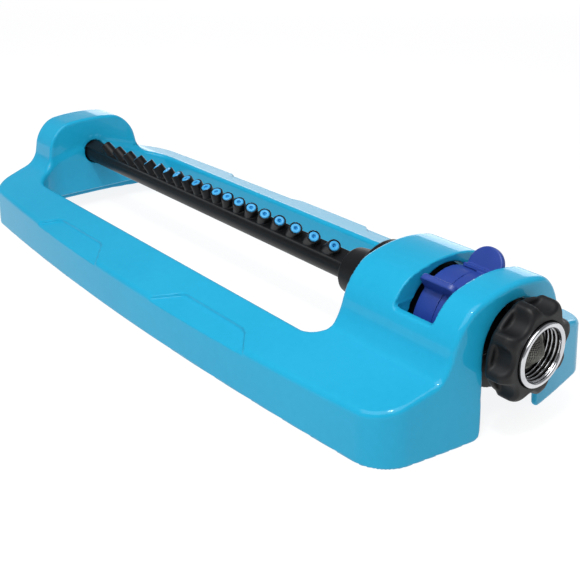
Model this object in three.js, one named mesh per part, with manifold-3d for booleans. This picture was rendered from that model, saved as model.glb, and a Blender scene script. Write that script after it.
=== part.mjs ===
// Oscillating lawn sprinkler: a hollow die-cast base that carries a swinging spray bar between a
// bearing tower and a motor housing, with a water-driven motor, two range tabs and a swivel hose
// coupling. Millimetres, +X towards the hose inlet, +Z up, origin under the middle of the whole
// object on the ground.
import * as THREE from 'three';
import { mergeVertices } from 'three/addons/utils/BufferGeometryUtils.js';
import Module from 'manifold-3d';

const wasm = await Module();
wasm.setup();

// ---------------------------------------------------------------- driving dimensions
const baseLength = 450;
const couplingReach = 14.8;
const inletEnd = (baseLength + couplingReach) / 2 - couplingReach;
const farEnd = inletEnd - baseLength;
const baseMid = (inletEnd + farEnd) / 2;
const axisHeight = 44.6;
const wall = 3;
const drop = 1e-3;
const gap = 0.3;

const sideHalfWidth = 88.8;
const sideBow = 9.2;
const endSweep = 0.165;
const archHalfWidth = 23.2;
const cornerRun = 15;
const draft = 0.07;
const draftSide = draft / sideHalfWidth;
const draftEnd = draft / (baseLength / 2);

const crestHeight = 34.5;
const crestHalfWidth = 55;
const railSlope = 0.288;
const innerRim = 14;

const windowFar = farEnd + 34.3;
const windowNear = inletEnd - 81.7;
const towerTop = 71.4;
const humpTop = 74.2;

const slotNear = inletEnd - 22.7;
const slotFar = inletEnd - 47.7;
const slotSill = 57;
const bulkhead = 2.6;
const bulkheadBore = 25.6;

const tubeRadius = 7.8;
const tubeBore = 6.2;
const sprayTilt = THREE.MathUtils.degToRad(22.4);
const nozzleCount = 20;
const nozzleMid = inletEnd - 256.1;
const nozzlePitch = 10.99;
const nozzleSpread = 2.24;
const bossHeight = 8;

const caseFront = inletEnd - 90.2;
const noseFront = inletEnd - 112.7;
const caseRadius = 25;
const sleeveRadius = 22.6;
const tabLeftAngle = 38;
const tabRightAngle = -26;

// ---------------------------------------------------------------- materials
function plastic(colour, roughness = 0.5) {
  return new THREE.MeshStandardMaterial({ color: colour, roughness, metalness: 0 });
}
function metal(colour, roughness = 0.3) {
  return new THREE.MeshStandardMaterial({ color: colour, roughness, metalness: 1 });
}
const bluePaint = new THREE.MeshStandardMaterial({ color: 0x2fb4de, roughness: 0.18, metalness: 0 });
const blackPlastic = plastic(0x141518, 0.55);
const blackRubber = plastic(0x0c0c0d, 0.8);
const tabBlue = plastic(0x2f4fae, 0.4);
const jetBlue = plastic(0x58bfe8, 0.35);
const acetal = plastic(0xe6e3d8, 0.4);
const chrome = metal(0xd8dade, 0.12);
const steel = metal(0xa8aaae, 0.3);

// ---------------------------------------------------------------- solids and joins
// A closed solid from any geometry: shared points merged, empty triangles dropped, faces outward.
function solid(geometry) {
  const bare = geometry.index ? geometry.toNonIndexed() : geometry.clone();
  bare.deleteAttribute('normal');
  bare.deleteAttribute('uv');
  const merged = mergeVertices(bare, drop);
  const index = merged.index.array;
  const triangles = [];
  for (let i = 0; i < index.length; i += 3) {
    const [a, b, c] = [index[i], index[i + 1], index[i + 2]];
    if (a !== b && b !== c && c !== a) {
      triangles.push(a, b, c);
    }
  }
  const points = merged.attributes.position.array;
  if (signedVolume(points, triangles) < 0) {
    triangles.reverse();
  }
  const mesh = new wasm.Mesh({
    numProp: 3,
    vertProperties: new Float32Array(points),
    triVerts: new Uint32Array(triangles),
  });
  return new wasm.Manifold(mesh);
}

function signedVolume(points, triangles) {
  let sum = 0;
  const [p, q, r] = [new THREE.Vector3(), new THREE.Vector3(), new THREE.Vector3()];
  for (let i = 0; i < triangles.length; i += 3) {
    p.fromArray(points, 3 * triangles[i]);
    q.fromArray(points, 3 * triangles[i + 1]);
    r.fromArray(points, 3 * triangles[i + 2]);
    sum += p.dot(q.cross(r));
  }
  return sum;
}

function joined(solids) {
  return solids.reduce((whole, next) => whole.add(next));
}

function cut(body, tools) {
  return tools.reduce((rest, tool) => rest.subtract(tool), body);
}

function meshOf(name, body, material) {
  const { numProp, vertProperties, triVerts } = body.getMesh();
  const positions = new Float32Array((vertProperties.length / numProp) * 3);
  for (let i = 0; i < positions.length / 3; i += 1) {
    positions.set(vertProperties.subarray(i * numProp, i * numProp + 3), i * 3);
  }
  const geometry = new THREE.BufferGeometry();
  geometry.setAttribute('position', new THREE.BufferAttribute(positions, 3));
  geometry.setIndex(new THREE.BufferAttribute(new Uint32Array(triVerts), 1));
  geometry.computeVertexNormals();
  const mesh = new THREE.Mesh(geometry, material);
  mesh.name = name;
  return mesh;
}

// ---------------------------------------------------------------- shape helpers
// A profile of [x, radius] corners turned about the X axis.
function turned(profile, segments = 24) {
  const points = profile.map(([x, radius]) => new THREE.Vector2(radius, x));
  const geometry = new THREE.LatheGeometry(points, segments);
  geometry.rotateZ(-Math.PI / 2);
  return geometry;
}

// The same, closed on itself, for a ring with a bore.
function ring(profile, segments = 24) {
  return solid(turned([...profile, profile[0]], segments));
}

function rod(x0, x1, radius, segments = 16) {
  return solid(turned([[x0, 0], [x0, radius], [x1, radius], [x1, 0]], segments));
}

function block(x0, x1, y0, y1, z0, z1) {
  const geometry = new THREE.BoxGeometry(x1 - x0, y1 - y0, z1 - z0);
  geometry.translate((x0 + x1) / 2, (y0 + y1) / 2, (z0 + z1) / 2);
  return solid(geometry);
}

// An outline in (y, z) carried along X from x0 to x1.
function alongX(shape, x0, x1, curveSegments = 6) {
  const options = { depth: x1 - x0, bevelEnabled: false, curveSegments };
  const geometry = new THREE.ExtrudeGeometry(shape, options);
  const axes = new THREE.Matrix4().makeBasis(
    new THREE.Vector3(0, 1, 0),
    new THREE.Vector3(0, 0, 1),
    new THREE.Vector3(1, 0, 0),
  );
  geometry.applyMatrix4(axes);
  geometry.translate(x0, 0, 0);
  return solid(geometry);
}

// An outline in (x, y) carried up from z0 to z1, leaning inwards as a casting's drafted walls do.
function upward(shape, z0, z1, drafted = false, curveSegments = 6) {
  const options = { depth: z1 - z0, bevelEnabled: false, curveSegments };
  const geometry = new THREE.ExtrudeGeometry(shape, options);
  geometry.translate(0, 0, z0);
  if (drafted) {
    const position = geometry.attributes.position;
    for (let i = 0; i < position.count; i += 1) {
      const z = position.getZ(i);
      position.setX(i, baseMid + (position.getX(i) - baseMid) * (1 - draftEnd * z));
      position.setY(i, position.getY(i) * (1 - draftSide * z));
    }
  }
  return solid(geometry);
}

function turnedAbout(body, degrees) {
  return body.rotate([degrees, 0, 0]);
}

// ---------------------------------------------------------------- base frame
// Plan of the base: ends swept back from the inlet arch, long sides bowed outwards, round corners.
function planShape(inset) {
  const half = baseLength / 2 - inset;
  const flat = archHalfWidth;
  const side = sideHalfWidth - inset;
  const cornerY = side - sideBow;
  const cornerX = half - endSweep * (cornerY - flat);
  const sweptX = cornerX + endSweep * cornerRun;
  const turnX = cornerX - cornerRun;
  const turnY = cornerY + 1;
  const bowY = side + sideBow - 1;
  const shape = new THREE.Shape();
  shape.moveTo(baseMid + half, -flat);
  shape.lineTo(baseMid + half, flat);
  shape.lineTo(baseMid + sweptX, cornerY - cornerRun);
  shape.quadraticCurveTo(baseMid + cornerX, cornerY, baseMid + turnX, turnY);
  shape.quadraticCurveTo(baseMid, bowY, baseMid - turnX, turnY);
  shape.quadraticCurveTo(baseMid - cornerX, cornerY, baseMid - sweptX, cornerY - cornerRun);
  shape.lineTo(baseMid - half, flat);
  shape.lineTo(baseMid - half, -flat);
  shape.lineTo(baseMid - sweptX, -cornerY + cornerRun);
  shape.quadraticCurveTo(baseMid - cornerX, -cornerY, baseMid - turnX, -turnY);
  shape.quadraticCurveTo(baseMid, -bowY, baseMid + turnX, -turnY);
  shape.quadraticCurveTo(baseMid + cornerX, -cornerY, baseMid + sweptX, -cornerY + cornerRun);
  return shape;
}

// Section of the rails: a flat middle at the crest height, sloping down to the outer walls.
function railShape(inset) {
  const reach = 100;
  const shape = new THREE.Shape();
  shape.moveTo(-reach, -5);
  shape.lineTo(reach, -5);
  shape.lineTo(reach, crestHeight - inset - railSlope * (reach - crestHalfWidth));
  shape.lineTo(crestHalfWidth, crestHeight - inset);
  shape.lineTo(-crestHalfWidth, crestHeight - inset);
  shape.lineTo(-reach, crestHeight - inset - railSlope * (reach - crestHalfWidth));
  return shape;
}

// Section of a raised block: flared foot, nearly upright sides, round shoulders, crowned top.
function blockShape({ foot, waist, shoulder, top, crown }, inset) {
  const s = inset;
  const shape = new THREE.Shape();
  shape.moveTo(-foot + s, -5);
  shape.lineTo(foot - s, -5);
  shape.lineTo(foot - s, crestHeight + 1.1 - s);
  shape.quadraticCurveTo(waist + 2.3 - s, crestHeight + 4 - s, waist - s, crestHeight + 12 - s);
  shape.lineTo(waist - 1.8 - s, crestHeight + 21.5 - s);
  shape.quadraticCurveTo(waist - 4.7 - s, top - crown * 1.9 - s, shoulder, top - crown - s);
  shape.quadraticCurveTo(0, top + crown - s, -shoulder, top - crown - s);
  const sideTop = crestHeight + 21.5 - s;
  shape.quadraticCurveTo(-waist + 4.7 + s, top - crown * 1.9 - s, -waist + 1.8 + s, sideTop);
  shape.lineTo(-waist + s, crestHeight + 12 - s);
  shape.quadraticCurveTo(-waist - 2.3 + s, crestHeight + 4 - s, -foot + s, crestHeight + 1.1 - s);
  return shape;
}
const humpSection = { foot: 52, waist: 40.2, shoulder: 22, top: humpTop, crown: 3 };
const towerSection = { foot: 54, waist: 38.6, shoulder: 22, top: towerTop, crown: 1.2 };

// Plan of the window between the rails, with round corners that are larger at the tower.
function windowShape(grow) {
  const x0 = windowFar - grow;
  const x1 = windowNear + grow;
  const y = crestHalfWidth + grow;
  const round = 12 + grow;
  const farRound = 26 + grow;
  const shape = new THREE.Shape();
  shape.moveTo(x0 + farRound, -y);
  shape.lineTo(x1 - round, -y);
  shape.absarc(x1 - round, -y + round, round, -Math.PI / 2, 0);
  shape.absarc(x1 - round, y - round, round, 0, Math.PI / 2);
  shape.absarc(x0 + farRound, y - farRound, farRound, Math.PI / 2, Math.PI);
  shape.absarc(x0 + farRound, -y + farRound, farRound, Math.PI, 1.5 * Math.PI);
  return shape;
}

function skin(inset, floor) {
  const plan = upward(planShape(inset), floor, 90, true);
  const hump = alongX(blockShape(humpSection, inset), windowNear - 3 * inset, inletEnd + 5);
  const tower = alongX(blockShape(towerSection, inset), farEnd - 5, windowFar + 3 * inset);
  return joined([alongX(railShape(inset), farEnd - 5, inletEnd + 5), hump, tower]).intersect(plan);
}

// A shallow pocket in a rail's sloping top: a trapezium open to the outer wall.
function railPocket(centreX, sign) {
  const shape = new THREE.Shape();
  const outer = 41;
  const inner = 26;
  const inY = 74;
  const outY = 96;
  const lean = ((outer - inner) / (87 - inY)) * (outY - inY);
  shape.moveTo(centreX - inner, inY);
  shape.lineTo(centreX + inner, inY);
  shape.lineTo(centreX + inner + lean, outY);
  shape.lineTo(centreX - inner - lean, outY);
  const column = upward(shape, 10, 45);
  const depth = 1.8;
  const below = alongX(railShape(depth), farEnd - 5, inletEnd + 5);
  const pocket = column.subtract(below);
  return sign > 0 ? pocket : pocket.mirror([0, 1, 0]);
}

function baseFrame() {
  const outside = skin(0, 0);
  const windowWall = upward(windowShape(wall), innerRim, 90);
  const archOpening = alongX(blockShape(humpSection, wall), windowNear - wall - 1, windowNear + wall + 1);
  const cavity = skin(wall, -1).subtract(windowWall.subtract(archOpening));
  let body = cut(outside, [cavity, upward(windowShape(0), -1, 90)]);

  // bulkheads on both sides of the tab slot, with round openings for the motor
  const inside = blockShape(humpSection, wall - 0.2);
  const housingInside = alongX(inside, slotFar - bulkhead, slotNear + bulkhead);
  const upperHalf = block(slotFar - 10, slotNear + 10, -60, 60, 30, 90);
  const webs = [slotFar - bulkhead, slotNear].map((x) => block(x, x + bulkhead, -60, 60, 0, 90));
  const plates = joined(webs).intersect(housingInside).intersect(upperHalf);
  const bore = rod(slotFar - 10, slotNear + 10, bulkheadBore, 36).translate([0, 0, axisHeight]);
  body = body.add(plates.subtract(bore));
  body = body.subtract(block(slotFar, slotNear, -60, 60, slotSill, 90));

  // bush socket behind the bearing tower's inner face
  const socketEnd = windowFar - 13;
  const socket = rod(socketEnd, windowFar - 0.5, 13, 24).translate([0, 0, axisHeight]);
  const socketBore = rod(socketEnd - 1, windowFar - 2.6, 10.2, 24).translate([0, 0, axisHeight]);
  const faceBore = rod(windowFar - 4, windowFar + 1, tubeRadius + 0.9, 24).translate([0, 0, axisHeight]);
  body = cut(body.add(socket), [socketBore, faceBore]);

  // screw bosses inside the inlet wall
  for (const y of [-29.5, 29.5]) {
    body = body.add(rod(inletEnd - 8.2, inletEnd - 5.5, 4.5, 20).translate([0, y, axisHeight]));
    body = body.subtract(rod(inletEnd - 9, inletEnd - 5.2, 1.9, 16).translate([0, y, axisHeight]));
  }

  // arch through the inlet wall behind the hose coupling
  const arch = new THREE.Shape();
  arch.moveTo(-archHalfWidth, -5);
  arch.lineTo(archHalfWidth, -5);
  arch.lineTo(archHalfWidth, axisHeight);
  arch.absarc(0, axisHeight, archHalfWidth, 0, Math.PI);
  body = body.subtract(alongX(arch, inletEnd - 8.1, inletEnd + 5, 20));

  const pockets = [-76, 76].flatMap((x) => [railPocket(baseMid + x, 1), railPocket(baseMid + x, -1)]);
  return cut(body, pockets);
}

const model = new THREE.Group();
model.add(meshOf('base_frame', baseFrame(), bluePaint));

// Everything on the swing axis is drawn with the axis through y = 0, z = 0 and lifted by this group.
const onAxis = new THREE.Group();
onAxis.position.z = axisHeight;
model.add(onAxis);

// ---------------------------------------------------------------- tower bush
const bushFar = windowFar - 12.5;
const bush = ring([
  [bushFar, tubeRadius + 0.1],
  [bushFar, 9.9],
  [windowFar - 2.9, 9.9],
  [windowFar - 2.9, tubeRadius + 0.1],
]);
onAxis.add(meshOf('tower_bush', bush, blackPlastic));

// ---------------------------------------------------------------- inlet body
// Fixed pipe through the motor, its mounting flange, and the sleeve that the range rings turn on.
const pipeFront = inletEnd - 68.7;
const pipeStep = inletEnd - 59.7;
const sleeveFront = inletEnd - 46.2;
const flangeFront = inletEnd - 10.9;
const flangeBack = inletEnd - 8.5;
const collarFront = inletEnd + 1.8;
const collarBack = inletEnd + 3.7;
const pipeRadius = 9;
const sleeve = sleeveRadius;
const rimRadius = sleeveRadius + 0.9;
const inletProfile = [
  [pipeFront, 4.2], [pipeFront, 6], [pipeStep, 6], [pipeStep, pipeRadius],
  [flangeFront, pipeRadius], [flangeFront, sleeve - 1.4], [sleeveFront, sleeve - 1.4],
  [sleeveFront, rimRadius], [sleeveFront + 0.8, rimRadius], [sleeveFront + 0.8, sleeve],
  [slotNear + 0.3, sleeve], [slotNear + 0.3, rimRadius], [slotNear + 1.3, rimRadius],
  [slotNear + 1.3, sleeve], [flangeFront, sleeve], [flangeFront, 26], [flangeBack, 26],
  [flangeBack, pipeRadius], [collarFront, pipeRadius], [collarFront, 12.4], [collarBack, 12.4],
  [collarBack, 6.5], [pipeStep + 4, 6.5], [pipeStep + 4, 4.2],
];
const fingerMid = (sleeveFront + 0.8 + slotNear + 0.3) / 2;
const fingerHalf = 4.6;
function inletBody() {
  const bar = block(flangeFront, flangeBack, -34, 34, -6, 6);
  const ears = bar.subtract(rod(flangeFront - 1, flangeBack + 1, 12));
  const body = ring(inletProfile, 28).add(ears);
  const fingerWindow = block(fingerMid - fingerHalf - 0.8, fingerMid + fingerHalf + 0.8, -30, 30, 3.7, 30);
  const keep = rod(fingerMid - 8, fingerMid + 8, 12, 24);
  const port = block(pipeStep - 4.2, pipeStep - 1.6, -7, 7, -1.5, 1.5);
  const holes = [-29.5, 29.5].map((y) => rod(flangeFront - 1, flangeBack + 1, 1.9, 16).translate([0, y, 0]));
  return cut(body, [fingerWindow.subtract(keep), port, ...holes]);
}
onAxis.add(meshOf('inlet_body', inletBody(), blackPlastic));

// ---------------------------------------------------------------- inlet flange screws
function flangeScrew(y) {
  const x = flangeFront - 0.15;
  const profile = [
    [x - 1.9, 0], [x - 1.9, 1.9], [x - 1.2, 2.9], [x, 3], [x, 1.5],
    [inletEnd - 5.5, 1.5], [inletEnd - 5.5, 0],
  ];
  const recess = block(x - 3, x - 1, -2.2, 2.2, -0.35, 0.35);
  return cut(solid(turned(profile, 20)), [recess, turnedAbout(recess, 90)]).translate([0, y, 0]);
}
onAxis.add(meshOf('flange_screw_left', flangeScrew(-29.5), steel));
onAxis.add(meshOf('flange_screw_right', flangeScrew(29.5), steel));

// ---------------------------------------------------------------- gears
// A spur gear along X: straight-flanked teeth, thin enough to run freely with its mate.
function gear({ teeth, module, x0, x1, bore, phase = 0 }) {
  const pitch = (teeth * module) / 2;
  const tip = pitch + 0.85 * module;
  const root = pitch - 1.15 * module;
  const step = (2 * Math.PI) / teeth;
  const shape = new THREE.Shape();
  for (let i = 0; i < teeth; i += 1) {
    const mid = i * step + phase;
    const corners = [[-0.29, root], [-0.12, tip], [0.12, tip], [0.29, root]];
    for (const [turn, radius] of corners) {
      const angle = mid + turn * step;
      const point = [radius * Math.cos(angle), radius * Math.sin(angle)];
      if (i === 0 && turn === -0.29) {
        shape.moveTo(...point);
      } else {
        shape.lineTo(...point);
      }
    }
  }
  const body = alongX(shape, x0, x1);
  return bore > 0 ? body.subtract(rod(x0 - 1, x1 + 1, bore, 20)) : body;
}

const sunTeeth = 16;
const planetTeeth = 8;
const wheelTeeth = 40;
const pinionTeeth = 8;
const coarse = 1;
const fine = 0.5;
const layOffset = ((sunTeeth + planetTeeth) / 2) * coarse;
const gearX0 = pipeFront + 1;
const gearX1 = gearX0 + 6;
const wheelX0 = pipeFront - 5.5;
const wheelX1 = wheelX0 + 4;

// The sun gear stands still on the pipe, and the lay gear rolls round it below the axis.
const meshDirection = -Math.PI / 2 + sprayTilt;
const sun = gear({
  teeth: sunTeeth, module: coarse, x0: gearX0, x1: gearX1, bore: 6.15, phase: meshDirection,
});
onAxis.add(meshOf('fixed_sun_gear', sun, acetal));

// ---------------------------------------------------------------- swinging spray bar
const sprayBar = new THREE.Group();
sprayBar.rotation.x = sprayTilt;
onAxis.add(sprayBar);

const tubeFar = windowFar - 14;
const tubeNear = caseFront + 0.4;

// Each nozzle's place along the bar and its lean: the jets fan out towards both ends.
const nozzles = [];
for (let i = 0; i < nozzleCount; i += 1) {
  const k = i - (nozzleCount - 1) / 2;
  const half = (nozzleCount - 1) / 2;
  const x = nozzleMid + nozzlePitch * k + nozzleSpread * half * (k / half) ** 3;
  const lean = THREE.MathUtils.degToRad(2.5 + 54.5 * (k / half) - 8.3 * (k / half) ** 3);
  nozzles.push({ x, lean });
}

// Stands a piece drawn along +X from the origin on the bar's surface, leaning by its nozzle's angle.
function onBar(body, nozzle) {
  const degrees = THREE.MathUtils.radToDeg(nozzle.lean);
  return body.rotate([0, degrees - 90, 0]).translate([nozzle.x, 0, tubeRadius]);
}

const jetSeat = bossHeight - 4.6;
function sprayTube() {
  const boss = solid(turned([[-4, 0], [-4, 4.5], [bossHeight, 4.05], [bossHeight, 0]], 8));
  const pocket = solid(turned([
    [-4, 0], [-4, 1.2], [jetSeat, 1.2], [jetSeat, 3.1], [bossHeight + 1, 3.1], [bossHeight + 1, 0],
  ], 6));
  const bosses = nozzles.map((nozzle) => onBar(boss, nozzle));
  const pockets = nozzles.map((nozzle) => onBar(pocket, nozzle));
  const outside = joined([rod(tubeFar, tubeNear, tubeRadius, 24), ...bosses]);
  return cut(outside, [rod(tubeFar - 1, tubeNear + 1, tubeBore, 16), ...pockets]);
}
sprayBar.add(meshOf('spray_tube', sprayTube(), blackPlastic));

const jetBase = jetSeat + gap;
const jetTop = bossHeight + 0.2;
const jet = ring([[jetBase, 1.2], [jetBase, 2.6], [jetTop, 2.6], [jetTop, 1.2]], 6);
nozzles.forEach((nozzle, i) => {
  const name = `nozzle_insert_${String(i + 1).padStart(2, '0')}`;
  sprayBar.add(meshOf(name, onBar(jet, nozzle), jetBlue));
});

const plug = solid(turned([
  [tubeFar - 2.6, 0], [tubeFar - 2.6, 7.2], [tubeFar - gap, tubeRadius], [tubeFar - gap, 5.9],
  [tubeFar + 5, 5.9], [tubeFar + 5, 0],
], 24));
sprayBar.add(meshOf('tube_end_plug', plug, blackPlastic));

// ---------------------------------------------------------------- motor cover with its nose
const coverBack = caseFront + 11.5;
function motorCover() {
  const profile = [
    [noseFront, 8.0], [noseFront, 12], [noseFront + 1, 13], [caseFront - 1.5, 15.6], [caseFront, 17.5],
    [caseFront, caseRadius - 2.5], [caseFront + 0.8, caseRadius - 0.8],
    [caseFront + 2.5, caseRadius],
    [coverBack, caseRadius], [coverBack, 23.2], [caseFront + 2.4, 23.2], [caseFront + 2.4, 8.0],
  ];
  const spider = block(caseFront + 0.7, caseFront + 2.4, -9, 9, -1.5, 1.5);
  const hub = rod(caseFront + 0.7, caseFront + 4.1, 3, 20);
  return joined([ring(profile, 28), spider, hub]).subtract(rod(caseFront + 2, caseFront + 5, 1.15, 16));
}
sprayBar.add(meshOf('motor_cover', motorCover(), blackPlastic));

// ---------------------------------------------------------------- motor case
const webX0 = pipeStep + 5.2;
const webX1 = webX0 + 2.2;
const caseBack = inletEnd - 18.2;
const caseNarrow = sleeveRadius - 2;
const leverRadius = 12.5;
function motorCase() {
  const profile = [
    [coverBack + gap, 23.2], [coverBack + gap, caseRadius], [webX1, caseRadius], [webX1, caseNarrow],
    [caseBack, caseNarrow], [caseBack, 9.4], [caseBack - 2.2, 9.4], [caseBack - 2.2, 18.8],
    [webX1, 18.8], [webX1, 9.4], [webX0, 9.4], [webX0, 23.2],
  ];
  const fingerWindow = block(fingerMid - fingerHalf - 0.8, fingerMid + fingerHalf + 0.8, -5, 5, 15, 25);
  const shaftHole = rod(webX0 - 1, webX1 + 1, 1.3, 16).translate([0, 0, leverRadius]);
  return cut(ring(profile, 28), [fingerWindow, shaftHole]);
}
sprayBar.add(meshOf('motor_case', motorCase(), blackPlastic));

const sealX = caseBack - 4.6;
const seal = ring([[sealX, 9.1], [sealX, 11.4], [sealX + 2.2, 11.4], [sealX + 2.2, 9.1]]);
sprayBar.add(meshOf('motor_shaft_seal', seal, blackRubber));

// ---------------------------------------------------------------- gear plate, turbine and lay gear
const plateX0 = coverBack + 1.4;
function gearPlate() {
  const holes = [rod(plateX0 - 1, plateX0 + 3, 2.9, 20)];
  holes.push(rod(plateX0 - 1, plateX0 + 3, 1.25, 16).translate([0, 0, -layOffset]));
  for (const [y, z] of [[14, 0], [-14, 0], [0, 14]]) {
    holes.push(rod(plateX0 - 1, plateX0 + 3, 4, 12).translate([0, y, z]));
  }
  return cut(rod(plateX0, plateX0 + 1.5, 23, 24), holes);
}
sprayBar.add(meshOf('gear_plate', gearPlate(), acetal));

const turbineX0 = caseFront + 5;
const turbineX1 = coverBack + 0.2;
function turbineWheel() {
  const parts = [rod(turbineX0, turbineX1, 5), rod(turbineX1 - 1.2, turbineX1, 16, 24)];
  const blade = block(turbineX0, turbineX1, -0.6, 0.6, 4, 16.8);
  for (let i = 0; i < 10; i += 1) {
    parts.push(turnedAbout(blade, i * 36));
  }
  parts.push(rod(turbineX1 - 0.5, wheelX0 - 0.4, 1.9, 16));
  parts.push(gear({ teeth: pinionTeeth, module: fine, x0: wheelX0 - 0.5, x1: wheelX1 + 0.5, bore: 0 }));
  return joined(parts).subtract(rod(turbineX0 - 1, wheelX1 + 2, 1.12, 16));
}
sprayBar.add(meshOf('turbine_wheel', turbineWheel(), acetal));
sprayBar.add(meshOf('turbine_axle', rod(caseFront + 2.3, wheelX1 + 0.8, 1, 16), steel));

// Big wheel and small gear moulded as one, with a tooth space facing the turbine pinion's tooth.
function layGear() {
  const wheel = gear({
    teeth: wheelTeeth, module: fine, x0: wheelX0, x1: wheelX1, bore: 0,
    phase: Math.PI / wheelTeeth + Math.PI / 2,
  });
  const planet = gear({
    teeth: planetTeeth, module: coarse, x0: wheelX1 - 0.5, x1: gearX1, bore: 0,
    phase: Math.PI / planetTeeth + Math.PI / 2,
  });
  const whole = joined([wheel, planet]).subtract(rod(wheelX0 - 1, gearX1 + 1, 1.12, 16));
  return whole.translate([0, 0, -layOffset]);
}
sprayBar.add(meshOf('lay_gear', layGear(), acetal));
const layAxle = rod(plateX0 + 0.2, webX0 - gap, 1, 16).translate([0, 0, -layOffset]);
sprayBar.add(meshOf('lay_gear_axle', layAxle, steel));

// ---------------------------------------------------------------- reversing lever and its vane
function tripLever() {
  const hub = rod(fingerMid - 6, fingerMid + 6, 2.3, 20);
  const reach = sleeveRadius - 0.15 - leverRadius;
  const finger = block(fingerMid - fingerHalf, fingerMid + fingerHalf, -1.1, 1.1, 0, reach);
  const bore = rod(fingerMid - 7, fingerMid + 7, 1.15, 16);
  return hub.add(finger).subtract(bore).translate([0, 0, leverRadius]);
}
sprayBar.add(meshOf('trip_lever', tripLever(), acetal));
const shaftX0 = webX0 - 3.6;
const tripShaft = rod(shaftX0, caseBack - 2.5, 1, 16).translate([0, 0, leverRadius]);
sprayBar.add(meshOf('trip_shaft', tripShaft, steel));
function reversingVane() {
  const hub = rod(shaftX0, shaftX0 + 3, 2, 16);
  const vane = block(shaftX0, shaftX0 + 3, -6, 6, 1, 2.2);
  return hub.add(vane).subtract(rod(shaftX0 - 1, shaftX0 + 4, 1.15, 16)).translate([0, 0, leverRadius]);
}
sprayBar.add(meshOf('reversing_vane', reversingVane(), acetal));

// ---------------------------------------------------------------- range rings with their tabs
// Angles run from straight up, positive towards -Y, as a turn about +X does.
const ringInner = sleeveRadius + 0.3;
const ringOuter = sleeveRadius + 2.2;
const ringX0 = sleeveFront + 1.1;
const ringX1 = slotNear;
const ringMid = (ringX0 + ringX1) / 2;
const toothOffset = 10;

function ringBand(x0, x1) {
  return ring([[x0, ringInner], [x0, ringOuter], [x1, ringOuter], [x1, ringInner]], 36);
}

function ringTooth(x0, x1) {
  return block(x0, x1, -1.4, 1.4, sleeveRadius - 1.2, ringInner + 0.6);
}

// A finger tab: a radial plate whose top edge is rounded.
function tabPlate(x0, x1, topRadius, roundness) {
  const shape = new THREE.Shape();
  shape.moveTo(x0, ringInner + 0.6);
  shape.lineTo(x1, ringInner + 0.6);
  shape.lineTo(x1, ringOuter + 1.2);
  shape.bezierCurveTo(x1, topRadius + roundness, x0, topRadius + roundness, x0, ringOuter + 1.2);
  const options = { depth: 2.6, bevelEnabled: false, curveSegments: 10 };
  const geometry = new THREE.ExtrudeGeometry(shape, options);
  geometry.rotateX(Math.PI / 2);
  geometry.translate(0, 1.3, 0);
  return solid(geometry);
}

const leftFinger = tabPlate(ringX0, ringX1 - 0.4, 33.8, 1.6);
const liftedLeft = leftFinger.subtract(rod(ringMid, ringX1 + 1, ringOuter + 0.4, 48));
const leftParts = [
  ringBand(ringX0, ringMid - 0.15),
  turnedAbout(liftedLeft, tabLeftAngle),
  turnedAbout(ringTooth(ringMid - 4.2, ringMid - 0.15), tabLeftAngle + toothOffset),
];
onAxis.add(meshOf('range_ring_left', joined(leftParts), tabBlue));

const rightFinger = tabPlate(ringX0, ringX1 - 0.4, 38.6, 4.8);
const liftedRight = rightFinger.subtract(rod(ringX0 - 1, ringMid, ringOuter + 0.4, 48));
const rightParts = [
  ringBand(ringMid + 0.15, ringX1),
  turnedAbout(liftedRight, tabRightAngle),
  turnedAbout(ringTooth(ringMid + 0.15, ringMid + 4.2), tabRightAngle - toothOffset),
];
onAxis.add(meshOf('range_ring_right', joined(rightParts), tabBlue));

// ---------------------------------------------------------------- hose coupling
const knobBack = inletEnd - 1.8;
const knobFront = inletEnd + 12.8;
const lobes = 8;
const lobeRadius = 25.3;
const valleyRadius = 20.8;
const insertRadius = 16.5;
const couplingFront = inletEnd + couplingReach;

function couplingKnob() {
  const outline = new THREE.Shape();
  const steps = lobes * 6;
  for (let i = 0; i < steps; i += 1) {
    const angle = (2 * Math.PI * i) / steps + Math.PI / 12;
    const swell = 0.5 + 0.5 * Math.cos(lobes * (angle - Math.PI / 12));
    const radius = valleyRadius + (lobeRadius - valleyRadius) * Math.sqrt(swell);
    const point = [radius * Math.cos(angle), radius * Math.sin(angle)];
    if (i === 0) {
      outline.moveTo(...point);
    } else {
      outline.lineTo(...point);
    }
  }
  const grip = alongX(outline, knobBack + 2, knobFront);
  const envelope = solid(turned([
    [knobBack, 0], [knobBack, lobeRadius - 0.8], [knobBack + 0.8, lobeRadius], [knobBack + 8, lobeRadius],
    [knobBack + 11, lobeRadius - 2], [knobFront - 1, 20], [knobFront, 18.6], [knobFront, 0],
  ], 48));
  const flange = rod(knobBack, knobBack + 3.2, lobeRadius, 48);
  const body = grip.intersect(envelope).add(flange.intersect(envelope));
  const socket = rod(knobBack + 3.1, knobFront + 1, insertRadius + gap, 28);
  return cut(body, [socket, rod(knobBack - 1, knobBack + 4, pipeRadius + 0.5, 24)]);
}

// The internal thread is drawn as two ridges that close on themselves.
function threadInsert() {
  const x0 = knobBack + 3.4;
  const inner = 13.9;
  const ridge = 0.9;
  const pitch = 2.2;
  const profile = [[x0, inner], [x0, insertRadius], [couplingFront - 0.6, insertRadius],
    [couplingFront, insertRadius - 0.6], [couplingFront, inner + 0.4], [couplingFront - 0.5, inner]];
  for (let i = 0; i < 2; i += 1) {
    const x = couplingFront - 1 - i * pitch;
    profile.push([x, inner], [x - pitch / 2, inner - ridge], [x - pitch + 0.1, inner]);
  }
  return ring(profile, 28);
}

const washerX0 = collarBack + gap;
const washer = ring([[washerX0, 7.2], [washerX0, 12.3], [washerX0 + 2, 12.3], [washerX0 + 2, 7.2]]);

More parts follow.
